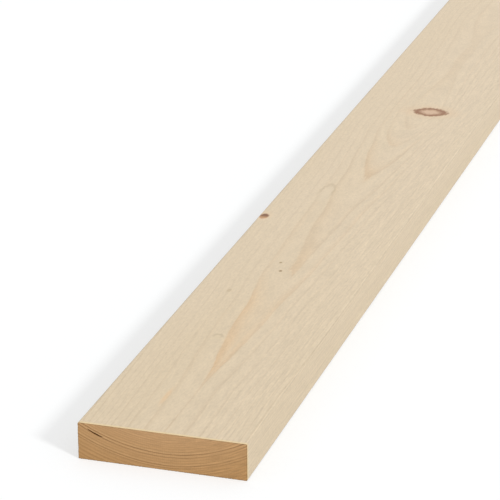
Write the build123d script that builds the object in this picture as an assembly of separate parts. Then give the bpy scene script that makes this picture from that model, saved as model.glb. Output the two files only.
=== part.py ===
from build123d import *

import os
from math import asin, atan2, degrees, hypot, sqrt

# A planed softwood board, sawn from one log and planed on all four faces.
# X runs across the width, Y along the grain and Z through the thickness.
# The origin is at the middle of the underside. All sizes are in millimetres.

# Board as it is sold
WIDTH = 120.0
THICKNESS = 27.0
LENGTH = 1800.0

# Long corners are eased by the planer, and the crosscut ends are left sharp
ARRIS_RADIUS = 0.8

# The log's centre lies above the board, so the growth rings hang like a smile on the ends
PITH_ABOVE_TOP = 108.0
PITH_RIGHT_OF_MIDDLE = 1.5

# A resin pocket opened by the crosscut: a thin gap along one growth ring
POCKET_FROM_LEFT_EDGE = 12.6
POCKET_BELOW_TOP = 6.4
POCKET_SPAN = 12.5
POCKET_OPENING = 1.1
POCKET_DEPTH = 26.0

# The pocket's cutter starts this far outside the end, so that the cut is clean
OVERCUT = 2.0


def arc_radius(half_chord, rise):
    """Radius of the arc that rises this much over a chord."""
    return (half_chord**2 + rise**2) / (2 * rise)


def planed_board():
    """The board with its four long corners eased."""
    board = Box(WIDTH, LENGTH, THICKNESS, align=(Align.CENTER, Align.CENTER, Align.MIN))
    return fillet(board.edges().filter_by(Axis.Y), ARRIS_RADIUS)


def resin_pocket(ring_radius):
    """The pocket in its own frame: X along the ring, Y into the board and Z away from the pith.

    Its inner wall is the ring itself. Its outer wall bulges, and closes on the ring at both
    ends of the span and at the full depth.
    """
    half_span = POCKET_SPAN / 2
    ring_drop = ring_radius - sqrt(ring_radius**2 - half_span**2)
    bulge_radius = arc_radius(half_span, POCKET_OPENING + ring_drop)
    closing_radius = arc_radius(POCKET_DEPTH, POCKET_OPENING)

    closing_axis = Axis((0, 0, POCKET_OPENING - closing_radius), (1, 0, 0))
    start_angle = degrees(asin(OVERCUT / closing_radius))
    end_angle = degrees(asin((POCKET_DEPTH + OVERCUT) / closing_radius))
    closed_end = Plane.XZ * Pos(0, POCKET_OPENING - bulge_radius) * Circle(bulge_radius)
    closed_end = closed_end.rotate(closing_axis, -end_angle)
    bulge = revolve(closed_end, closing_axis, start_angle + end_angle)

    cutter_length = 2 * (POCKET_DEPTH + 2 * OVERCUT)
    ring = Pos(0, 0, -ring_radius) * Rot(90, 0, 0) * Cylinder(ring_radius, cutter_length)
    return bulge - ring


def plank():
    """The board with the resin pocket cut into its near end."""
    pocket_x = -WIDTH / 2 + POCKET_FROM_LEFT_EDGE
    pocket_z = THICKNESS - POCKET_BELOW_TOP
    from_pith_x = pocket_x - PITH_RIGHT_OF_MIDDLE
    from_pith_z = pocket_z - (THICKNESS + PITH_ABOVE_TOP)
    ring_radius = hypot(from_pith_x, from_pith_z)

    # Turns the pocket's Z from straight up to pointing away from the pith
    turn = degrees(atan2(from_pith_x, from_pith_z))
    place = Pos(pocket_x, -LENGTH / 2, pocket_z) * Rot(0, turn, 0)
    return planed_board() - place * resin_pocket(ring_radius)


os.makedirs("parts", exist_ok=True)
export_step(plank(), "parts/plank.step")
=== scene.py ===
"""Looks of a planed spruce plank that lies on a pale studio floor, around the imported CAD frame.

Lengths are in millimetres and angles in degrees, unless a name says otherwise. The frame is the
part's own: X across the width, Y along the grain and Z up, with the origin at the middle of the
underside.
"""

import bisect
import logging
import math
import random
from collections.abc import Sequence
from dataclasses import dataclass
from enum import Enum, IntEnum
from typing import Any

import bmesh
import bpy
from mathutils import Euler, Matrix, Vector, noise


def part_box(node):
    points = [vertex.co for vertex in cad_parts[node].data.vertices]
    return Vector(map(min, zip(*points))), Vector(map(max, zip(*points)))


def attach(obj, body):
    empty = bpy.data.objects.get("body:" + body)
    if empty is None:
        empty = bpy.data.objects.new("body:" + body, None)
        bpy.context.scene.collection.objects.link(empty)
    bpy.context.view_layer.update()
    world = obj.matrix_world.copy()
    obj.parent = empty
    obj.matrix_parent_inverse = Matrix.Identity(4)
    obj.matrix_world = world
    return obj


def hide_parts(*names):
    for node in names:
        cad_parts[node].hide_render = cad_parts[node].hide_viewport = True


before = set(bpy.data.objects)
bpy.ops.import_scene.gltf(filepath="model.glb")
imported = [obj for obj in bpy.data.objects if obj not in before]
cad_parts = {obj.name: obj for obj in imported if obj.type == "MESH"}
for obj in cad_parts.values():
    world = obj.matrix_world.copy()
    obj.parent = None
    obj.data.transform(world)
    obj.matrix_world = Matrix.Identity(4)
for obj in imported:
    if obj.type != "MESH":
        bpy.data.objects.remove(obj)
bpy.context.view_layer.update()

LOG = logging.getLogger("spruce_plank")
MM = 0.001

Mesh = bmesh.types.BMesh
Face = bmesh.types.BMFace
Tree = bpy.types.NodeTree
Socket = bpy.types.NodeSocket
Range = tuple[float, float]
Triple = tuple[float, float, float]
Table = tuple[Range, ...]

# A Mix node's sockets when it blends colours, and what it is told then. A Map Range node takes its
# value, the low and high end of the range that it comes from, and those of the range that it gets.
MIX_A, MIX_B = 6, 7
COLOURS = {"data_type": "RGBA", "out": 2}

# A noise texture's values lie about this
NOISE_MIDDLE = 0.5


def linear(colour: str) -> tuple[float, float, float, float]:
    """Turns an sRGB hex colour into the linear one that a shader reads.

    Args:
        colour: six hex digits, red first.

    Returns:
        Red, green, blue and an alpha of 1.
    """
    channels = [int(colour[i : i + 2], 16) / 255 for i in (0, 2, 4)]
    red, green, blue = (c / 12.92 if c <= 0.04045 else ((c + 0.055) / 1.055) ** 2.4 for c in channels)
    return red, green, blue, 1.0


def add(
    tree: Tree, kind: str, inputs: dict | Sequence = (), out: int | str = 0, **settings: Any
) -> Socket | None:
    """Adds a shader node with its settings, its values and its links.

    Args:
        tree: node tree that gets the node.
        kind: the node's type, such as Math for a ShaderNodeMath.
        inputs: for each input socket, in order or by number or name, its value or the output that feeds it.
        out: the output socket that is wanted, by number or name.
        settings: the node's own settings, such as its operation.

    Returns:
        That output socket, if the node has any.
    """
    node = tree.nodes.new("ShaderNode" + kind)
    for name, value in settings.items():
        setattr(node, name, value)
    for socket, value in inputs.items() if isinstance(inputs, dict) else enumerate(inputs):
        if isinstance(value, Socket):
            tree.links.new(value, node.inputs[socket])
        else:
            node.inputs[socket].default_value = value
    return node.outputs[out] if node.outputs else None


def blank_material(name: str) -> bpy.types.Material:
    """Makes a material whose node tree is still empty.

    Args:
        name: the material's name.

    Returns:
        The material.
    """
    made = bpy.data.materials.new(name)
    made.use_nodes = True
    made.node_tree.nodes.clear()
    return made


def as_object(name: str, mesh: Mesh) -> bpy.types.Object:
    """Puts a mesh in the scene as an object at the origin.

    Args:
        name: the object's name.
        mesh: its mesh, which is freed.

    Returns:
        The object.
    """
    data = bpy.data.meshes.new(name)
    mesh.to_mesh(data)
    mesh.free()
    made = bpy.data.objects.new(name, data)
    bpy.context.scene.collection.objects.link(made)
    return made


def bell(distance: float, width: float) -> float:
    """Gives 1 at no distance, falling smoothly to 0 a few widths away."""
    return math.exp(-((distance / width) ** 2))


def eased(place: float, table: Table) -> float:
    """Reads a value off a table, easing from each entry to the next.

    Args:
        place: where to read.
        table: places in rising order, each with its value.

    Returns:
        The value, which stays level before the first entry and after the last.
    """
    if place <= table[0][0]:
        return table[0][1]
    for (start, low), (end, high) in zip(table, table[1:]):
        if place < end:
            share = (place - start) / (end - start)
            return low + (high - low) * share * share * (3 - 2 * share)
    return table[-1][1]


def patchy(point: Vector, patch: Triple, shift: float = 0.0) -> float:
    """Reads smooth noise from -1 to 1, with patches of a size along each axis, and shifted along X."""
    return noise.noise(Vector((point.x / patch[0] + shift, point.y / patch[1], point.z / patch[2])))


def ring_at(level: float, levels: Sequence[float]) -> tuple[int, float]:
    """Finds the last boundary inside a level, and the level's share of the way to the next one."""
    ring = max(0, min(len(levels) - 2, bisect.bisect_right(levels, level) - 1))
    return ring, (level - levels[ring]) / (levels[ring + 1] - levels[ring])


class Tool(Enum):
    """The tool that left a face, by the axis along which its fine marks repeat."""

    PLANER = "Y"
    SAW = "X"


class Surface(IntEnum):
    """What a face of the mesh shows, as the number of its material."""

    PLANED = 0
    SAWN = 1
    RESIN = 2


@dataclass(frozen=True)
class PlankSizes:
    """Outer sizes of the plank, read from the CAD node."""

    width: float
    thickness: float
    length: float

    @classmethod
    def of_node(cls, node: str) -> "PlankSizes":
        """Reads the sizes of a CAD node's box."""
        low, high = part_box(node)
        return cls((high.x - low.x) / MM, (high.z - low.z) / MM, (high.y - low.y) / MM)

    def place(self, from_left: float, along: float, below_top: float = 0.0) -> Vector:
        """Gives the coordinates of a place measured from the near end's upper left corner."""
        return Vector((from_left - self.width / 2, along - self.length / 2, self.thickness - below_top))


PLANK = PlankSizes.of_node("plank")


@dataclass(frozen=True)
class RingBoundary:
    """Outer end of one year's growth: its level, and how dark and how warm its latewood looks."""

    level: float
    darkness: float
    warmth: float = 0.0


@dataclass(frozen=True)
class GrowthRings:
    """The log's growth rings, as levels that the plank's faces cut through.

    A level is a point's distance from the pith, less that of the top face's middle at the near end.
    A ring's boundary is a level, and its dark latewood lies just inside it. Tables run along the
    plank from the near end, unless they say otherwise.
    """

    pith_above_top: float = 108.0
    # The pith's X, which wanders because the trunk isn't quite straight
    pith_x: Table = (
        (0, 1.9), (90, 0.3), (200, -0.3), (320, -1.0), (440, -1.6), (540, -0.5), (660, -2.0),
        (800, 1.0), (1010, -2.5), (1300, 4.0), (1560, -1.0), (1800, 2.5),
    )
    # How far the trunk's taper has brought younger wood to the surface
    taper: Table = (
        (0, 0.0), (78, 0.0), (110, 0.25), (140, 0.5), (220, 0.8), (315, 1.7), (430, 2.3), (530, 2.8),
        (610, 3.6), (670, 4.4), (800, 5.2), (930, 5.8), (1080, 6.9), (1260, 7.7), (1430, 8.9),
        (1620, 9.8), (1800, 11.2),
    )
    # A shallow crease in the trunk, which draws out the tips of the V marks: its X and its depth
    crease_x: Table = ((0, 1.2), (90, 1.5), (200, 2.9), (320, 3.9), (440, 2.1), (530, 3.2), (660, 2.4))
    crease_depth: Table = (
        (0, 0.9), (85, 1.0), (200, 0.45), (320, 0.4), (440, 0.6), (530, 0.05), (660, 0.0),
    )
    crease_width: float = 6.0
    crease_shoulder: float = 32.0
    crease_below_top: float = 9.0
    # The trunk bulges to the right of this X, by so much for each millimetre
    bulge_from: float = 10.0
    bulge: float = 0.032
    bulge_softness: float = 4.0
    # The rings grow flatter up to here, and from here on more uneven
    flatter_per_mm: float = 0.0005
    flatter_until: float = 700.0
    wander: float = 0.06
    wander_far: float = 0.5
    wander_until: float = 1000.0
    wander_patch: Triple = (34.0, 210.0, 30.0)
    ripple_share: float = 0.25
    ripple_patch: Triple = (7.0, 55.0, 7.0)
    ripple_shift: float = 40.0
    # How strongly the lines show
    fade: Table = (
        (0, 1.0), (15, 1.15), (60, 0.9), (200, 0.65), (330, 0.55), (450, 0.65), (560, 0.7), (680, 0.5),
        (900, 0.5), (1740, 0.7), (1800, 1.0),
    )
    # Further down than this they are fainter to the right, by X
    fade_across: Table = ((15, 1.0), (45, 0.6))
    fade_across_below: float = 4.0
    # Resin warms the latewood in patches near the crease, less on its right and at the near end
    warmth_mean: float = 0.8
    warmth_swing: float = 0.7
    warmth_patch: Triple = (16.0, 90.0, 16.0)
    warmth_spread: float = 19.0
    warmth_across: Table = ((-3, 1.0), (5, 0.4))
    warmth_along: Table = ((70, 0.2), (115, 1.0))
    # The share of a year over which one ring's look gives way to the next one's
    turnover: float = 0.4
    # Boundaries that the photograph doesn't show are drawn: spacing, darkness and warmth
    drawn_inside: tuple[Range, Range, Range] = ((1.04, 1.69), (0.35, 0.65), (0.0, 0.4))
    drawn_outside: tuple[Range, Range] = ((1.69, 2.47), (0.4, 1.0))
    innermost: float = -24.0
    outermost: float = 44.0
    seed: int = 27
    # Level, darkness and warmth of those that it shows, from the knot's loops to the end's lower edge
    seen: tuple[tuple[float, ...], ...] = (
        (-6.0, 0.6, 0.1), (-4.5, 0.65, 0.2), (-3.1, 0.85, 0.6), (-1.5, 0.9, 0.3), (0.1, 0.6, 1.0),
        (1.8, 0.6, 0.2), (3.9, 0.6), (5.0, 0.5), (7.0, 0.7), (8.4, 0.55), (9.8, 0.6), (11.3, 0.55),
        (13.2, 0.6), (15.4, 2.6), (17.6, 1.9), (19.6, 0.4), (21.5, 0.6), (23.8, 2.0), (25.3, 1.7),
        (27.9, 0.5), (30.2, 0.9), (33.1, 0.8), (36.0, 0.8),
    )

    def boundaries(self) -> list[RingBoundary]:
        """Lists all ring boundaries, the seen ones and drawn ones on both sides of them.

        Returns:
            The boundaries, from the pith outwards.
        """
        draw = random.Random(self.seed)
        found = [RingBoundary(*row) for row in self.seen]
        while found[0].level > self.innermost:
            away, *look = (draw.uniform(*span) for span in self.drawn_inside)
            found.insert(0, RingBoundary(found[0].level - away, *look))
        while found[-1].level < self.outermost:
            away, *look = (draw.uniform(*span) for span in self.drawn_outside)
            found.append(RingBoundary(found[-1].level + away, *look))
        return found

    def level(self, point: Vector) -> float:
        """Gives a point's level among the rings.

        Args:
            point: place in the part's frame.

        Returns:
            The level.
        """
        along = point.y + PLANK.length / 2
        under_top = PLANK.thickness - point.z
        across = point.x - eased(along, self.pith_x)
        flatter = across / math.sqrt(1 + self.flatter_per_mm * min(along, self.flatter_until))
        level = math.hypot(flatter, self.pith_above_top + under_top) - self.pith_above_top
        level -= eased(along, self.taper)
        from_crease = abs(point.x - eased(along, self.crease_x))
        crease = bell(from_crease, self.crease_shoulder) - math.exp(-from_crease / self.crease_width)
        level += eased(along, self.crease_depth) * bell(under_top, self.crease_below_top) * crease
        past = (point.x - self.bulge_from) / self.bulge_softness
        level += self.bulge * self.bulge_softness * math.log1p(math.exp(past))
        size = eased(along, ((self.flatter_until, self.wander), (self.wander_until, self.wander_far)))
        level += size * patchy(point, self.wander_patch)
        level += self.ripple_share * size * patchy(point, self.ripple_patch, self.ripple_shift)
        return level - sum(knot.swell(point) for knot in KNOTS if knot.swelling)

    def look(self, point: Vector, last: RingBoundary, coming: RingBoundary, year: float) -> Range:
        """Gives how a ring looks at a point.

        Args:
            point: place in the part's frame.
            last: the boundary inside it.
            coming: the boundary outside it.
            year: the share of the year's growth that has passed there.

        Returns:
            How dark and how warm its latewood is.
        """
        turn = min(1.0, max(0.0, year / self.turnover))
        along = point.y + PLANK.length / 2
        darkness = last.darkness + (coming.darkness - last.darkness) * turn
        deep = min(1.0, max(0.0, PLANK.thickness - point.z) / self.fade_across_below)
        darkness *= eased(along, self.fade)
        darkness *= 1 + deep * (eased(point.x, self.fade_across) - 1)
        warmth = last.warmth + (coming.warmth - last.warmth) * turn
        warmth *= max(0.0, self.warmth_mean + self.warmth_swing * patchy(point, self.warmth_patch))
        right = point.x - eased(along, self.crease_x)
        warmth *= bell(right, self.warmth_spread) * eased(right, self.warmth_across)
        return darkness, warmth * eased(along, self.warmth_along)


RINGS = GrowthRings()


@dataclass(frozen=True)
class WoodNodes:
    """A wood material's node tree while it is built, with its object coordinates."""

    tree: Tree
    place: Socket

    def grain_noise(self, size: Range, detail: float) -> Socket:
        """Adds noise that is stretched along the fibres.

        Args:
            size: size of a patch across the grain and along it.
            detail: how many finer layers it has.

        Returns:
            Values about NOISE_MIDDLE.
        """
        across, along = (1 / (length * MM) for length in size)
        place = add(self.tree, "VectorMath", (self.place, (across, along, across)), operation="MULTIPLY")
        values = {"Vector": place, "Scale": 1.0, "Detail": detail, "Roughness": 0.55}
        return add(self.tree, "TexNoise", values)


@dataclass(frozen=True)
class Knot:
    """A branch that was sawn through. It starts at the pith, so it leans away from it further down.

    Its colour runs from the heart to the rim, and the halo fades it into the wood. Where a value
    says how far out something lies, 0 is the knot's middle and 1 its outline.
    """

    name: str
    from_left: float
    along: float
    half_across: float
    half_along: float
    heart: str
    rim: str
    halo: str
    strength: float = 1.0
    halo_strength: float = 0.3
    halo_reach: Range = (0.9, 2.2)
    # How much of the rim's colour is kept to the far side, and the stretch over which it fades in
    far_side_only: float = 0.0
    far_side: Range = (-0.7, 0.3)
    rim_from: float = 0.35
    rim_full: float = 0.8
    softness: float = 0.3
    raggedness: float = 0.5
    # The outline is an ellipse at 2 and comes to points below that
    pointed: float = 2.0
    # How much the rings bulge round the knot, and how far off that still shows
    swelling: float = 0.0
    swell_along: float = 1.0
    swell_across: float = 1.0
    # Depth of the groove along the outline, the groove's width, and the share of it in the middle
    dish: float = 0.0
    groove: float = 0.22
    hollow: float = 0.5
    # How often each mesh edge is cut here, and how far past the outline
    cuts: int = 0
    cuts_past: float = 1.6

    def centre(self) -> Vector:
        """Gives the knot's middle on the top face."""
        return PLANK.place(self.from_left, self.along)

    def lean(self) -> float:
        """Gives how far the branch moves across for each millimetre that it rises."""
        return (eased(self.along, RINGS.pith_x) - self.centre().x) / RINGS.pith_above_top

    def swell(self, point: Vector) -> float:
        """Gives how far the rings bulge at a point because of the knot."""
        away = point - self.centre()
        return self.swelling * math.exp(-abs(away.y) / self.swell_along) * bell(away.x, self.swell_across)

    def reach(self, point: Vector) -> float:
        """Gives how far out in the knot a point lies.

        Args:
            point: place in the part's frame.

        Returns:
            Its distance from the branch's axis, as a share of the knot's outline.
        """
        away = point - self.centre()
        across = abs(away.x - self.lean() * away.z) / self.half_across
        along = abs(away.y) / self.half_along
        return (across**self.pointed + along**self.pointed) ** (1 / self.pointed)

    def dress(self, nodes: WoodNodes, rough: Socket, wood: Socket) -> Socket:
        """Lays the knot's colours over the wood's.

        Args:
            nodes: the wood material's nodes.
            rough: a noise about 0, which breaks up the knot's outline.
            wood: the colour so far.

        Returns:
            The colour with the knot in it.
        """
        tree = nodes.tree
        centre = self.centre() * MM
        away = add(tree, "VectorMath", (nodes.place, centre), operation="SUBTRACT")
        leaning = (1.0, 0.0, -self.lean())
        shares, powers = [], []
        for axis, half in ((leaning, self.half_across), ((0.0, 1.0, 0.0), self.half_along)):
            scaled = Vector(axis) / (half * MM)
            share = add(tree, "VectorMath", (away, scaled), operation="DOT_PRODUCT", out="Value")
            size = add(tree, "Math", (share,), operation="ABSOLUTE")
            shares.append(share)
            powers.append(add(tree, "Math", (size, self.pointed), operation="POWER"))
        total = add(tree, "Math", (powers[0], powers[1]), operation="ADD")
        reach = add(tree, "Math", (total, 1 / self.pointed), operation="POWER")
        reach = add(tree, "Math", (rough, self.raggedness, reach), operation="MULTIPLY_ADD")

        ranges = (
            (reach, self.halo_reach, self.halo_strength * self.strength, 0.0),
            (reach, (self.rim_from, self.rim_full), 0.0, 1.0),
            (shares[1], self.far_side, 1 - self.far_side_only, 1.0),
            (reach, (1.0 - self.softness, 1.0 + self.softness), self.strength, 0.0),
        )
        halo, inside, side, cover = (
            add(tree, "MapRange", (value, *source, low, high), interpolation_type="SMOOTHSTEP")
            for value, source, low, high in ranges
        )
        dark = add(tree, "Math", (inside, side), operation="MULTIPLY")
        body = add(tree, "Mix", {0: dark, MIX_A: linear(self.heart), MIX_B: linear(self.rim)}, **COLOURS)
        wood = add(tree, "Mix", {0: halo, MIX_A: wood, MIX_B: linear(self.halo)}, **COLOURS)
        return add(tree, "Mix", {0: cover, MIX_A: wood, MIX_B: body}, label=self.name, **COLOURS)


@dataclass(frozen=True)
class SpruceFinish:
    """Norway spruce as one tool left it: pale earlywood, with a darker latewood line at each year's end.

    The ring numbers and how dark they are come from the mesh, so that the faces, the end grain and
    the relief agree. A line or a band lists shares of a year, each with its strength.
    """

    name: str
    tool: Tool
    earlywood: str
    latewood: str
    band_colour: str
    drift_light: str
    outer: str
    line: Table
    darkest: float
    band_strength: float
    band_share: str
    band: Table
    fibre_strength: float
    fibre_size: Range
    streak_strength: float
    streak_gain: float
    streaks_per_year: float
    streak_run: Range
    roughness: float
    ring_relief: float
    fibre_relief: float
    tool_pitch: float
    tool_relief: float
    # Painted shade along the long corners, or round a crosscut's outline: where it starts, where it is
    # full, and how dark
    edge_shade_width: float
    edge_shade_full: float = 0.2
    edge_shade_strength: float = 0.2
    line_strength: float = 0.27
    # How ragged the lines are, as a share of a year
    feather: float = 0.14
    feather_size: Range = (1.6, 26.0)
    # Broad patches of a lighter colour, which take over from the near end towards the plank's middle
    drift_size: Range = (45.0, 420.0)
    drift_by_middle: float = 0.5
    fibre_range: Range = (0.25, 0.75)
    # The streaks grow stronger between these X
    streak_rise: Range = (-30.0, 45.0)
    # Latewood is denser, so it is smoother by this much
    latewood_polish: float = 0.12
    tool_wobble: float = 0.6
    knot_rough_size: Range = (2.5, 5.0)
    # The pale colour along the crosscut edges, partly the broken fibres' own and partly a painted
    # highlight, and how far in it starts and is full
    fringe_highlight: str | None = None
    fringe_highlight_from: float = 3.0
    fringe_highlight_full: float = 1.0
    fringe_highlight_strength: float = 0.7
    # The rings between which the wood turns to the outer colour
    outer_rings: Range = (20.0, 40.0)

    def material(self) -> bpy.types.Material:
        """Builds the material.

        Returns:
            The material.
        """
        made = blank_material(self.name)
        tree = made.node_tree
        nodes = WoodNodes(tree, add(tree, "TexCoord", out="Object"))
        age, line, band = self._latewood(nodes)
        fibre = nodes.grain_noise(self.fibre_size, 3.0)
        colour = self._coloured(nodes, age, ((band, self.band_colour), (line, self.latewood)))
        low, high = 1 - self.fibre_strength, 1 + self.fibre_strength
        shade = add(tree, "MapRange", (fibre, *self.fibre_range, low, high))
        colour = add(tree, "VectorMath", {0: colour, "Scale": shade}, operation="SCALE")
        colour = self._streaked(nodes, age, colour)
        # Pale torn fibres along the crosscut edges, with a painted highlight on them
        if self.fringe_highlight:
            colour = self._fringed_and_highlit(nodes, colour)
        # Painted shade on the long corners and round the crosscut's outline
        colour = self._edge_shaded(nodes, colour)
        rough = nodes.grain_noise(self.knot_rough_size, 2.0)
        rough = add(tree, "Math", (rough, NOISE_MIDDLE), operation="SUBTRACT")
        for knot in KNOTS:
            colour = knot.dress(nodes, rough, colour)

        bump = self._relief(nodes, line, fibre)
        smooth = self.roughness - self.latewood_polish
        gloss = add(tree, "MapRange", (line, 0.0, 1.0, self.roughness, smooth))
        values = {"Base Color": colour, "Roughness": gloss, "IOR": 1.5, "Normal": bump}
        shader = add(tree, "BsdfPrincipled", values)
        add(tree, "OutputMaterial", {"Surface": shader})
        return made

    def _latewood(self, nodes: WoodNodes) -> tuple[Socket, Socket, Socket]:
        """Reads the mesh's ring numbers and finds where the latewood is.

        Args:
            nodes: the material's nodes.

        Returns:
            The ring number, and the shares of the dark line and of the band before it.
        """
        tree = nodes.tree
        age = add(tree, "Attribute", attribute_name="ring_age", out="Fac")
        feather = nodes.grain_noise(self.feather_size, 2.0)
        feather = add(tree, "Math", (feather, NOISE_MIDDLE), operation="SUBTRACT")
        ragged = add(tree, "Math", (feather, self.feather, age), operation="MULTIPLY_ADD")
        year = add(tree, "Math", (ragged,), operation="FRACT")
        shares = []
        for stops, strength, share in (
            (self.line, self.line_strength, "ring_darkness"),
            (self.band, self.band_strength, self.band_share),
        ):
            ramp = add(tree, "ValToRGB", (year,))
            elements = ramp.node.color_ramp.elements
            while len(elements) < len(stops):
                elements.new(0.5)
            for element, (position, value) in zip(elements, stops):
                element.position = position
                element.color = (value, value, value, 1.0)
            marks = add(tree, "Attribute", attribute_name=share, out="Fac")
            marks = add(tree, "Math", (marks, self.darkest), operation="MINIMUM")
            scaled = add(tree, "Math", (marks, strength), operation="MULTIPLY")
            scaled = add(tree, "Math", (ramp, scaled), operation="MULTIPLY", use_clamp=True)
            shares.append(scaled)
        return age, shares[0], shares[1]

    def _coloured(self, nodes: WoodNodes, age: Socket, marks: tuple[tuple[Socket, str], ...]) -> Socket:
        """Mixes the wood's own colours.

        Args:
            nodes: the material's nodes.
            age: the ring number.
            marks: shares of the ring's marks, each with its colour.

        Returns:
            The colour.
        """
        tree, near_end = nodes.tree, -PLANK.length / 2 * MM
        drift = nodes.grain_noise(self.drift_size, 1.0)
        along = add(tree, "SeparateXYZ", (nodes.place,), out="Y")
        paler = add(tree, "MapRange", (along, near_end, 0.0, 0.0, self.drift_by_middle))
        drift = add(tree, "Math", (drift, paler), operation="ADD", use_clamp=True)
        outwards = add(tree, "MapRange", (age, *self.outer_rings))
        colour = linear(self.earlywood)
        for share, tone in ((drift, self.drift_light), (outwards, self.outer), *marks):
            colour = add(tree, "Mix", {0: share, MIX_A: colour, MIX_B: linear(tone)}, **COLOURS)
        return colour

    def _streaked(self, nodes: WoodNodes, age: Socket, colour: Socket) -> Socket:
        """Adds lighter and darker streaks that follow the rings, finer than a year.

        Args:
            nodes: the material's nodes.
            age: the ring number.
            colour: the colour so far.

        Returns:
            The colour with the streaks.
        """
        tree, place = nodes.tree, nodes.place
        across, along = (1 / (run * MM) for run in self.streak_run)
        run = add(tree, "VectorMath", (place, (across, along, 0.0)), operation="MULTIPLY")
        ring = add(tree, "Math", (age, self.streaks_per_year), operation="MULTIPLY")
        ring = add(tree, "CombineXYZ", {"Z": ring})
        spot = add(tree, "VectorMath", (run, ring), operation="ADD")
        streak = add(tree, "TexNoise", {"Vector": spot, "Scale": 1.0, "Detail": 2.0})
        streak = add(tree, "Math", (streak, NOISE_MIDDLE), operation="SUBTRACT")
        start, end = (place * MM for place in self.streak_rise)
        low, high = self.streak_strength, self.streak_gain * self.streak_strength
        right = add(tree, "SeparateXYZ", (place,), out="X")
        strength = add(tree, "MapRange", (right, start, end, low, high))
        shade = add(tree, "Math", (streak, strength, 1.0), operation="MULTIPLY_ADD")
        return add(tree, "VectorMath", {0: colour, "Scale": shade}, operation="SCALE")

    def _fringed_and_highlit(self, nodes: WoodNodes, colour: Socket) -> Socket:
        """Lightens the crosscut edges: the broken fibres there are paler, and a highlight is painted on
        them too.

        Args:
            nodes: the material's nodes.
            colour: the colour so far.

        Returns:
            The colour with the pale fringe and its painted highlight.
        """
        tree, end = nodes.tree, PLANK.length / 2 * MM
        along = add(tree, "SeparateXYZ", (nodes.place,), out="Y")
        from_middle = add(tree, "Math", (along,), operation="ABSOLUTE")
        start, full = end - self.fringe_highlight_from * MM, end - self.fringe_highlight_full * MM
        share = add(
            tree,
            "MapRange",
            (from_middle, start, full, 0.0, self.fringe_highlight_strength),
            interpolation_type="SMOOTHSTEP",
        )
        return add(tree, "Mix", {0: share, MIX_A: colour, MIX_B: linear(self.fringe_highlight)}, **COLOURS)

    def _edge_shaded(self, nodes: WoodNodes, colour: Socket) -> Socket:
        """Darkens the long corners, or a crosscut's outline, as painted shade: it tones down the light that
        the eased corners catch, and stands in for the shadow round the end's outline.

        Args:
            nodes: the material's nodes.
            colour: the colour so far.

        Returns:
            The colour with the darker edges.
        """
        # Painted shade: darker towards the long corners, or towards the whole outline of a crosscut
        tree = nodes.tree
        middle = (0.0, 0.0, PLANK.thickness / 2 * MM)
        away = add(tree, "VectorMath", (nodes.place, middle), operation="SUBTRACT")
        away = add(tree, "VectorMath", (away,), operation="ABSOLUTE")
        parts = add(tree, "SeparateXYZ", (away,)).node.outputs
        near = []
        for axis, half in (("X", PLANK.width / 2), ("Z", PLANK.thickness / 2)):
            start, full = (half - self.edge_shade_width) * MM, (half - self.edge_shade_full) * MM
            near.append(add(tree, "MapRange", (parts[axis], start, full), interpolation_type="SMOOTHSTEP"))
        joined = "MULTIPLY" if self.tool is Tool.PLANER else "MAXIMUM"
        edge = add(tree, "Math", (near[0], near[1]), operation=joined)
        shade = add(tree, "MapRange", (edge, 0.0, 1.0, 1.0, 1 - self.edge_shade_strength))
        return add(tree, "VectorMath", {0: colour, "Scale": shade}, operation="SCALE")

    def _relief(self, nodes: WoodNodes, line: Socket, fibre: Socket) -> Socket:
        """Adds the relief that is finer than the mesh: proud latewood, fibres and the tool's marks.

        Args:
            nodes: the material's nodes.
            line: share of latewood.
            fibre: the fibre noise.

        Returns:
            The normal.
        """
        tree = nodes.tree
        # A wave texture of scale 1 turns by 20 radians in each unit of length
        scale = math.tau / 20 / (self.tool_pitch * MM)
        waves = add(
            tree,
            "TexWave",
            {"Vector": nodes.place, "Scale": scale, "Distortion": self.tool_wobble, "Detail": 1.0},
            out="Fac",
            bands_direction=self.tool.value,
        )
        height = 0.0
        heights = ((line, self.ring_relief), (fibre, self.fibre_relief), (waves, self.tool_relief))
        for share, rise in heights:
            height = add(tree, "Math", (share, rise * MM, height), operation="MULTIPLY_ADD")
        return add(tree, "Bump", {"Strength": 1.0, "Distance": 1.0, "Height": height})


# Spruce faces from a four-sided planer: sharp knives left the cell walls whole, so the face is pale
# cream with a silky sheen, and each year's line is crisp on its outer side.
PLANED_SPRUCE = SpruceFinish(
    name="planed_spruce", tool=Tool.PLANER, earlywood="D3C0A1", latewood="A5865F",
    band_colour="DCA868", drift_light="D9C7AC", outer="D6C4A7",
    line=((0.0, 0.5), (0.04, 0.0), (0.74, 0.0), (0.88, 0.6), (0.96, 1.0), (1.0, 0.9)),
    darkest=0.8, band_strength=0.44, band_share="ring_warmth",
    band=((0.0, 0.3), (0.08, 0.05), (0.4, 0.05), (0.65, 0.35), (0.85, 0.8), (0.96, 1.0), (1.0, 0.9)),
    fibre_strength=0.075, fibre_size=(1.2, 3.5), streak_strength=0.11, streak_gain=2.8,
    streaks_per_year=3.0, streak_run=(25.0, 24.0), roughness=0.62, ring_relief=0.02,
    fibre_relief=0.008, tool_pitch=2.2, tool_relief=0.004, edge_shade_width=1.15, fringe_highlight="E4CC9C",
)

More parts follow.
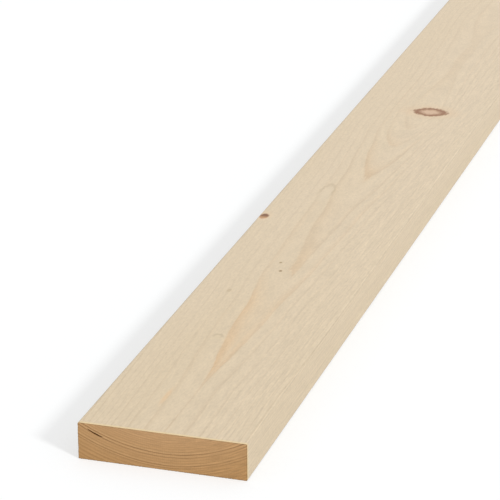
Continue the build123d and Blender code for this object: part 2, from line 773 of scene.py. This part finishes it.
# Spruce across the grain, from a circular saw: its teeth left the fibres' ends open, and these
# drink the light, so the end is a deep honey colour and matt.
SAWN_END_GRAIN = SpruceFinish(
    name="sawn_end_grain", tool=Tool.SAW, earlywood="CB9F6F", latewood="7E5329",
    band_colour="DDB582", drift_light="CDA273", outer="BC8F59",
    line=((0.0, 0.4), (0.05, 0.0), (0.62, 0.0), (0.82, 0.6), (0.94, 1.0), (1.0, 0.9)),
    darkest=3.0, band_strength=0.17, band_share="ring_darkness",
    band=((0.0, 0.0), (0.2, 0.2), (0.45, 1.0), (0.64, 0.6), (0.74, 0.0)),
    fibre_strength=0.05, fibre_size=(1.4, 6.0), streak_strength=0.33, streak_gain=2.4,
    streaks_per_year=2.5, streak_run=(11.0, 30.0), roughness=0.8, ring_relief=0.06,
    fibre_relief=0.04, tool_pitch=1.4, tool_relief=0.02, edge_shade_width=1.0,
)


@dataclass(frozen=True)
class DryResin:
    """Old resin that bled into the pocket and dried on its walls.

    It is brown and brittle, with a dull gloss where it is thick, and matt where it is thin.
    """

    name: str = "dry_resin"
    thick: str = "6E4420"
    thin: str = "A6743E"
    patch: float = 2.5
    patch_range: Range = (0.3, 0.7)
    roughness: Range = (0.38, 0.68)

    def material(self) -> bpy.types.Material:
        """Builds the material.

        Returns:
            The material.
        """
        made = blank_material(self.name)
        tree = made.node_tree
        place = add(tree, "TexCoord", out="Object")
        values = {"Vector": place, "Scale": 1 / (self.patch * MM), "Detail": 2.0}
        patches = add(tree, "TexNoise", values)
        colour = add(
            tree, "Mix", {0: patches, MIX_A: linear(self.thick), MIX_B: linear(self.thin)}, **COLOURS
        )
        gloss = add(tree, "MapRange", (patches, *self.patch_range, *self.roughness))
        shader = add(tree, "BsdfPrincipled", {"Base Color": colour, "Roughness": gloss, "IOR": 1.54})
        add(tree, "OutputMaterial", {"Surface": shader})
        return made


@dataclass(frozen=True)
class ResinPocket:
    """A thin gap along one growth ring, which the crosscut opened."""

    from_left: float = 12.6
    below_top: float = 6.4
    span: float = 12.5
    opening: float = 1.1
    depth: float = 26.0
    ring_centre_x: float = 1.5
    # Resin darkens the ring past the pocket's tips, so far across it and along it
    soaked: float = 5.0
    soaked_across: float = 0.7
    soaked_along: float = 8.5
    around: int = 40
    through: int = 16

    def _middle_and_pith(self) -> tuple[Vector, Vector]:
        """Gives the pocket's middle and the log's centre, both on the near end."""
        middle = PLANK.place(self.from_left, 0.0, self.below_top)
        return middle, Vector((self.ring_centre_x, middle.y, PLANK.thickness + RINGS.pith_above_top))

    def soaking(self, point: Vector) -> float:
        """Gives how much darker resin has made the ring line at a point beyond the pocket's tips.

        Args:
            point: place in the part's frame.

        Returns:
            The added darkness, which is 0 away from the pocket.
        """
        middle, pith = self._middle_and_pith()
        off_ring = math.hypot(point.x - pith.x, point.z - pith.z) - (middle - pith).length
        across = bell(off_ring - self.opening / 3, self.soaked_across)
        return self.soaked * across * bell((point - middle).length, self.soaked_along)

    def cutter(self) -> Mesh:
        """Makes the pocket's shape: flat on the ring side, bulging away from the pith, sharp-rimmed.

        Returns:
            A closed lens that runs equally far into and out of the near end.
        """
        middle, pith = self._middle_and_pith()
        ring_radius = (middle - pith).length
        lens = bmesh.new()
        bmesh.ops.create_uvsphere(lens, u_segments=self.around, v_segments=self.through, radius=1.0)
        for vert in lens.verts:
            bulge = max(0.0, vert.co.z) ** 2 * self.opening
            across = vert.co.x * self.span / 2
            vert.co = Vector((across, vert.co.y * self.depth, bulge - across**2 / (2 * ring_radius)))
        turn = math.atan2(middle.x - pith.x, middle.z - pith.z)
        lens.transform(Matrix.Translation(middle) @ Matrix.Rotation(turn, 4, "Y"))
        return lens


KNOTS = (
    Knot(
        "edge_knot", from_left=4.2, along=417.3, half_across=3.7, half_along=6.0,
        heart="C99C73", rim="80583A", halo="E6C9A4", halo_strength=0.45, far_side_only=0.85,
        rim_from=-1.0, rim_full=-0.5, swelling=0.8, swell_along=14.0, swell_across=7.0,
        dish=0.12, cuts=1,
    ),
    Knot(
        "face_knot", from_left=70.5, along=721.5, half_across=16.0, half_along=12.0,
        heart="D0B093", rim="936A4C", halo="DDBF9C", halo_strength=0.4, pointed=1.7,
        rim_from=0.3, rim_full=0.85, softness=0.16, swelling=3.5, swell_along=85.0, swell_across=25.0,
        dish=0.15, cuts=1,
    ),
    Knot(
        "dark_pin", from_left=51.8, along=304.5, half_across=1.2, half_along=1.5,
        heart="9A8263", rim="9A8263", halo="CDB692", halo_strength=0.5,
        dish=0.2, cuts=4,
    ),
    Knot(
        "faint_pin", from_left=47.0, along=321.5, half_across=1.1, half_along=1.4,
        heart="B09A78", rim="B09A78", halo="D3BD98",
        dish=0.15, cuts=4,
    ),
    Knot(
        "left_pin", from_left=26.0, along=255.0, half_across=1.5, half_along=3.2,
        heart="B9A27C", rim="A8926C", halo="D3BD97", strength=0.35,
    ),
    Knot(
        "bark_scar", from_left=45.0, along=168.0, half_across=4.2, half_along=4.6,
        heart="D4C2A2", rim="A59273", halo="D3C1A1", strength=0.4, halo_strength=0.2,
        far_side_only=1.0,
    ),
    Knot(
        "long_scar", from_left=37.3, along=486.0, half_across=6.4, half_along=22.0,
        heart="DACAB0", rim="A08A64", halo="D8C7AB", strength=0.3, halo_strength=0.15,
        far_side_only=0.85, rim_from=0.6, rim_full=0.95, softness=0.2,
    ),
    Knot(
        "resin_streak", from_left=43.6, along=57.0, half_across=1.6, half_along=12.0,
        heart="E0B682", rim="E0B682", halo="DFC198", strength=0.35, softness=0.5,
    ),
)


@dataclass
class Plank:
    """The planed board: one piece of wood, with its easing, pocket, knots and torn fibres in the mesh."""

    pocket: ResinPocket = ResinPocket()
    arris_radius: float = 0.8
    arris_segments: int = 4
    # The section's grid, with closer lines beside the corners and below the first V mark
    column_width: float = 1.5
    row_height: float = 1.5
    edge_column: float = 0.2
    stem_column: float = 0.5
    # Steps along the grain, which are shortest near the large knots and the ends
    longest_step: float = 10.0
    shortest_step: float = 1.6
    first_step: float = 0.5
    step_growth: float = 0.8
    knot_margin: float = 6.0
    end_margin: float = 3.0
    end_cuts: int = 2
    # An edge is crisp where its faces meet at more than this
    crisp_angle: float = 30.0
    # Wear of the long corners, in slow waves and in dents where a quicker noise is high
    arris_wear: float = 0.12
    wear_patch: Triple = (1.0, 31.0, 1.0)
    dent_patch: Triple = (1.0, 6.0, 1.0)
    dent_shift: float = 9.0
    dent_from: float = 0.45
    # Fibres torn out along the crosscut edges, into the end and, by a share of it, into the sides
    torn_fibre: float = 0.28
    torn_share: float = 0.6
    torn_patch: Triple = (1.3, 1.0, 1.3)
    torn_mean: float = 0.35
    # Soft earlywood sinks on the ends, most at this share of a year, and the saw left them rough
    end_ring_relief: float = 0.07
    softest: float = 0.4
    saw_relief: float = 0.03
    saw_patch: float = 1.1
    # What lies nearer than this to a face counts as on it
    skin: float = 0.02
    merged: float = 0.001

    def build(self) -> bpy.types.Object:
        """Builds the plank's mesh and dresses it.

        Returns:
            The plank, at the origin, with its place in its mesh.
        """
        mesh = self._with_pocket(self._eased_block())
        self._cut_section(mesh)
        self._cut_length(mesh)
        self._refine(mesh, [face for face in mesh.faces if self._on_end(face)], self.end_cuts)
        for knot in KNOTS:
            if knot.cuts:
                self._refine(mesh, self._knot_faces(mesh, knot), knot.cuts)
        bmesh.ops.remove_doubles(mesh, verts=mesh.verts, dist=self.merged)
        bmesh.ops.recalc_face_normals(mesh, faces=mesh.faces)
        self._assign_surfaces(mesh)
        self._sharpen(mesh)
        marks = self._ring_marks(mesh)
        self._carve(mesh)
        mesh.transform(Matrix.Scale(MM, 4))

        plank = as_object("spruce_plank", mesh)
        for name, values in marks.items():
            attribute = plank.data.attributes.new(name, "FLOAT", "POINT")
            attribute.data.foreach_set("value", values)
        # In the order of Surface
        for finish in (PLANED_SPRUCE, SAWN_END_GRAIN, DryResin()):
            plank.data.materials.append(finish.material())
        return plank

    def _eased_block(self) -> Mesh:
        """Makes the board's block with its four long corners eased.

        Returns:
            The block.
        """
        mesh = bmesh.new()
        bmesh.ops.create_cube(mesh, size=1.0)
        bmesh.ops.scale(mesh, vec=(PLANK.width, PLANK.length, PLANK.thickness), verts=mesh.verts)
        bmesh.ops.translate(mesh, vec=(0, 0, PLANK.thickness / 2), verts=mesh.verts)
        bmesh.ops.bevel(
            mesh,
            geom=[edge for edge in mesh.edges if edge.calc_length() > PLANK.length / 2],
            offset=self.arris_radius,
            segments=self.arris_segments,
            profile=0.5,
            affect="EDGES",
            material=-1,
        )
        return mesh

    def _with_pocket(self, mesh: Mesh) -> Mesh:
        """Cuts the resin pocket out of the near end.

        Args:
            mesh: the block, which is freed.

        Returns:
            The block with the pocket.
        """
        block = as_object("block", mesh)
        cutter = as_object("pocket_cutter", self.pocket.cutter())
        cut = block.modifiers.new("pocket", "BOOLEAN")
        cut.object = cutter
        cut.operation = "DIFFERENCE"
        cut.solver = "EXACT"
        view = bpy.context.evaluated_depsgraph_get()
        result = bmesh.new()
        result.from_mesh(block.evaluated_get(view).data)
        for spent in (block, cutter):
            data = spent.data
            bpy.data.objects.remove(spent)
            bpy.data.meshes.remove(data)
        return result

    def _cut_section(self, mesh: Mesh) -> None:
        """Cuts the faces into columns across the width and rows through the thickness.

        Args:
            mesh: the board's mesh.
        """
        half_flat = PLANK.width / 2 - self.arris_radius
        columns = round(2 * half_flat / self.column_width)
        low, high = self.arris_radius, PLANK.thickness - self.arris_radius
        rows = round((high - low) / self.row_height)
        stem = RINGS.crease_x[0][1]
        across = [-half_flat + 2 * half_flat * i / columns for i in range(1, columns)]
        beside = half_flat - self.edge_column
        across += [-beside, beside, stem, stem + self.stem_column]
        up = [low + (high - low) * i / rows for i in range(1, rows)]
        up += [low + self.edge_column, high - self.edge_column]
        planes = [((x, 0, 0), (1, 0, 0)) for x in across] + [((0, 0, z), (0, 0, 1)) for z in up]
        for place, normal in planes:
            everything = [*mesh.verts, *mesh.edges, *mesh.faces]
            bmesh.ops.bisect_plane(mesh, geom=everything, dist=0.0001, plane_co=place, plane_no=normal)

    def _stations(self) -> list[float]:
        """Chooses where the length is divided: closely at the ends and the knots, widely elsewhere.

        Returns:
            Distances from the near end, with both ends.
        """
        along, stations = 0.0, [0.0]
        places = [(knot.along, knot.half_along + self.knot_margin) for knot in KNOTS if knot.cuts == 1]
        places += [(0.0, self.end_margin), (PLANK.length, self.end_margin)]
        while along < PLANK.length:
            near = max(bell(along - place, width) for place, width in places)
            edge = min(along, PLANK.length - along)
            step = self.longest_step + (self.shortest_step - self.longest_step) * near
            along += min(step, self.first_step + self.step_growth * edge)
            stations.append(along)
        stretch = PLANK.length / stations[-1]
        return [station * stretch for station in stations]

    def _cut_length(self, mesh: Mesh) -> None:
        """Divides the long faces at the chosen stations.

        Args:
            mesh: the board's mesh.
        """
        stations = self._stations()
        half = PLANK.length / 2
        long_edges = [edge for edge in mesh.edges if edge.calc_length() > half]
        cuts = len(stations) - 2
        made = bmesh.ops.subdivide_edges(mesh, edges=long_edges, cuts=cuts)
        for vert in {part for part in made["geom_inner"] if isinstance(part, bmesh.types.BMVert)}:
            index = round((vert.co.y + half) / PLANK.length * (cuts + 1))
            vert.co.y = stations[index] - half

    def _on_end(self, face: Face) -> bool:
        """Tells whether a face is part of a crosscut."""
        return all(abs(abs(vert.co.y) - PLANK.length / 2) < self.skin for vert in face.verts)

    def _knot_faces(self, mesh: Mesh, knot: Knot) -> list[Face]:
        """Lists the faces of a knot and just round it."""
        furthest = 1.0 + knot.cuts_past / knot.half_across
        return [face for face in mesh.faces if knot.reach(face.calc_center_median()) < furthest]

    def _refine(self, mesh: Mesh, faces: Sequence[Face], cuts: int) -> None:
        """Divides each of some faces into a finer grid."""
        edges = list(dict.fromkeys(edge for face in faces for edge in face.edges))
        bmesh.ops.subdivide_edges(mesh, edges=edges, cuts=cuts, use_grid_fill=True)

    def _assign_surfaces(self, mesh: Mesh) -> None:
        """Marks each face as planed, sawn or resin.

        Args:
            mesh: the board's mesh.
        """
        for face in mesh.faces:
            middle = face.calc_center_median()
            beside = abs(middle.x) > PLANK.width / 2 - self.arris_radius
            if self._on_end(face):
                face.material_index = Surface.SAWN
            elif beside or min(middle.z, PLANK.thickness - middle.z) < self.skin:
                face.material_index = Surface.PLANED
            else:
                face.material_index = Surface.RESIN
            face.smooth = True

    def _sharpen(self, mesh: Mesh) -> None:
        """Keeps the edges between steeply meeting faces crisp.

        Args:
            mesh: the board's mesh.
        """
        for edge in mesh.edges:
            if len(edge.link_faces) == 2 and edge.calc_face_angle(0.0) > math.radians(self.crisp_angle):
                edge.smooth = False

    def _ring_marks(self, mesh: Mesh) -> dict[str, list[float]]:
        """Works out each vertex's ring number, and how dark and how warm its ring looks there.

        Args:
            mesh: the board before it is carved.

        Returns:
            For each attribute its values, in the order of the vertices.
        """
        boundaries = RINGS.boundaries()
        levels = [boundary.level for boundary in boundaries]
        marks: dict[str, list[float]] = {"ring_age": [], "ring_darkness": [], "ring_warmth": []}
        for vert in mesh.verts:
            ring, year = ring_at(RINGS.level(vert.co), levels)
            darkness, warmth = RINGS.look(vert.co, boundaries[ring], boundaries[ring + 1], year)
            marks["ring_age"].append(ring + year)
            marks["ring_darkness"].append(darkness + self.pocket.soaking(vert.co))
            marks["ring_warmth"].append(warmth)
        return marks

    def _carve(self, mesh: Mesh) -> None:
        """Moves the skin inwards where the wood is worn, torn or sunken.

        Args:
            mesh: the board's mesh.
        """
        mesh.normal_update()
        levels = [boundary.level for boundary in RINGS.boundaries()]
        for vert in mesh.verts:
            place = vert.co.copy()
            to_end = PLANK.length / 2 - abs(place.y)
            to_side = PLANK.width / 2 - abs(place.x)
            to_face = min(place.z, PLANK.thickness - place.z)
            towards_middle = math.copysign(1, PLANK.thickness / 2 - place.z)
            inwards = Vector((-math.copysign(1, place.x), 0, towards_middle))
            on_end = to_end < self.skin
            on_rim = min(to_side, to_face) < self.skin
            on_arris = to_side < self.arris_radius and to_face < self.arris_radius
            if on_arris:
                vert.co += inwards * self.arris_wear * self._wear(place)
            elif on_rim and not on_end:
                self._dish_knots(vert)
            if on_end and on_rim:
                torn = self.torn_fibre * max(0.0, self.torn_mean + patchy(place, self.torn_patch))
                vert.co.y -= math.copysign(torn, place.y)
                if not on_arris and to_face < self.skin:
                    vert.co.z += inwards.z * self.torn_share * torn
                elif not on_arris:
                    vert.co.x += inwards.x * self.torn_share * torn
            elif on_end:
                vert.co.y -= math.copysign(self._sunk(place, levels), place.y)

    def _wear(self, place: Vector) -> float:
        """Gives the wear of a long corner, as a share of the usual."""
        slow = 0.5 + 0.5 * patchy(place, self.wear_patch)
        return slow + max(0.0, patchy(place, self.dent_patch, self.dent_shift) - self.dent_from)

    def _dish_knots(self, vert: bmesh.types.BMVert) -> None:
        """Sinks a point of the planed faces by the knots that it lies in.

        Args:
            vert: the mesh's vertex there.
        """
        place = vert.co.copy()
        for knot in KNOTS:
            if knot.dish:
                reach = knot.reach(place)
                groove = bell(reach - 1.0, knot.groove) + knot.hollow * max(0.0, 1 - reach) ** 0.5
                vert.co -= vert.normal * knot.dish * groove

    def _sunk(self, place: Vector, levels: Sequence[float]) -> float:
        """Gives how deep a point of a crosscut lies.

        Args:
            place: the point.
            levels: the levels of the ring boundaries.

        Returns:
            The depth below the untouched end.
        """
        _, year = ring_at(RINGS.level(place), levels)
        soft = 0.5 + 0.5 * math.cos(math.tau * (year - self.softest))
        return self.end_ring_relief * soft + self.saw_relief * (1 + noise.noise(place / self.saw_patch))


@dataclass(frozen=True)
class Studio:
    """Pale floor, soft even light with one low key from the right, and the camera of the photograph."""

    floor_size: float = 120000.0
    floor_drop: float = 0.1
    floor_seen: str = "FCFEFF"
    floor_bounce: str = "A9A9A9"
    floor_glow: float = 0.5
    white: str = "FFFFFF"
    sky_light: float = 0.75
    key_strength: float = 1.82
    key_height: float = 30.0
    key_turn: float = 30.0
    key_spread: float = 9.0
    lens: float = 186.08
    camera_place: Triple = (523.544, -2376.282, 764.867)
    camera_tilt: float = 21.191
    camera_turn: float = 17.349
    camera_roll: float = -0.199

    def floor(self) -> bpy.types.Object:
        """Lays the floor, matt white paper that is white where the camera sees it lit.

        Returns:
            The floor.
        """
        sheet = bmesh.new()
        bmesh.ops.create_grid(sheet, x_segments=1, y_segments=1, size=self.floor_size / 2 * MM)
        bmesh.ops.translate(sheet, vec=(0, 0, -self.floor_drop * MM), verts=sheet.verts)
        floor = as_object("studio_floor", sheet)
        made = blank_material("matt_white_paper")
        tree = made.node_tree
        seen = self._seen_rays(tree)
        colour = add(
            tree,
            "Mix",
            {0: seen, MIX_A: linear(self.floor_bounce), MIX_B: linear(self.floor_seen)},
            **COLOURS,
        )
        paper = add(tree, "BsdfDiffuse", {"Color": colour})
        glow = add(tree, "Emission", {"Color": linear(self.white), "Strength": 1.0})
        share = add(tree, "Math", (seen, self.floor_glow), operation="MULTIPLY")
        shader = add(tree, "MixShader", (share, paper, glow))
        add(tree, "OutputMaterial", {"Surface": shader})
        floor.data.materials.append(made)
        return floor

    def _seen_rays(self, tree: Tree) -> Socket:
        """Adds the test for rays that show the background, straight, mirrored or through glass.

        Args:
            tree: node tree that gets the test.

        Returns:
            1 for such a ray and 0 for others.
        """
        rays = add(tree, "LightPath").node.outputs
        seen = rays["Is Camera Ray"]
        for kind in ("Is Glossy Ray", "Is Transmission Ray"):
            seen = add(tree, "Math", (seen, rays[kind]), operation="MAXIMUM")
        return seen

    def light(self) -> None:
        """Sets the even light of the room and the key lamp."""
        world = bpy.data.worlds.new("studio_room")
        bpy.context.scene.world = world
        world.use_nodes = True
        tree = world.node_tree
        tree.nodes.clear()
        strength = add(tree, "MapRange", (self._seen_rays(tree), 0.0, 1.0, self.sky_light))
        sky = add(tree, "Background", {"Color": linear(self.white), "Strength": strength})
        add(tree, "OutputWorld", {"Surface": sky})

        lamp = bpy.data.lights.new("key_lamp", "SUN")
        lamp.energy = self.key_strength
        lamp.angle = math.radians(self.key_spread)
        key = bpy.data.objects.new("key_lamp", lamp)
        turn = Matrix.Rotation(math.radians(90 - self.key_turn), 3, "Z")
        tip = Matrix.Rotation(math.radians(90 - self.key_height), 3, "X")
        key.matrix_world = (turn @ tip).to_4x4()
        bpy.context.scene.collection.objects.link(key)

    def camera(self) -> None:
        """Sets the camera at the photograph's place, turn and lens."""
        data = bpy.data.cameras.new("photo_camera")
        data.lens = self.lens
        camera = bpy.data.objects.new("photo_camera", data)
        aim = Euler((math.radians(90 - self.camera_tilt), 0, math.radians(self.camera_turn))).to_matrix()
        roll = Matrix.Rotation(math.radians(self.camera_roll), 3, "Z")
        camera.matrix_world = Matrix.Translation(Vector(self.camera_place) * MM) @ (aim @ roll).to_4x4()
        bpy.context.scene.collection.objects.link(camera)
        bpy.context.scene.camera = camera


def main() -> None:
    """Builds the plank and its studio in order, and reports each piece."""
    logging.basicConfig(level=logging.INFO, format="%(name)s: %(message)s")
    bpy.context.scene.view_settings.view_transform = "Standard"
    studio = Studio()
    studio.camera()
    studio.light()
    studio.floor()

    plank = Plank().build()
    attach(plank, "root")
    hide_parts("plank")
    triangles = sum(len(face.vertices) - 2 for face in plank.data.polygons)
    LOG.info("%s: %d vertices, %d triangles", plank.name, len(plank.data.vertices), triangles)


if __name__ == "__main__":
    main()
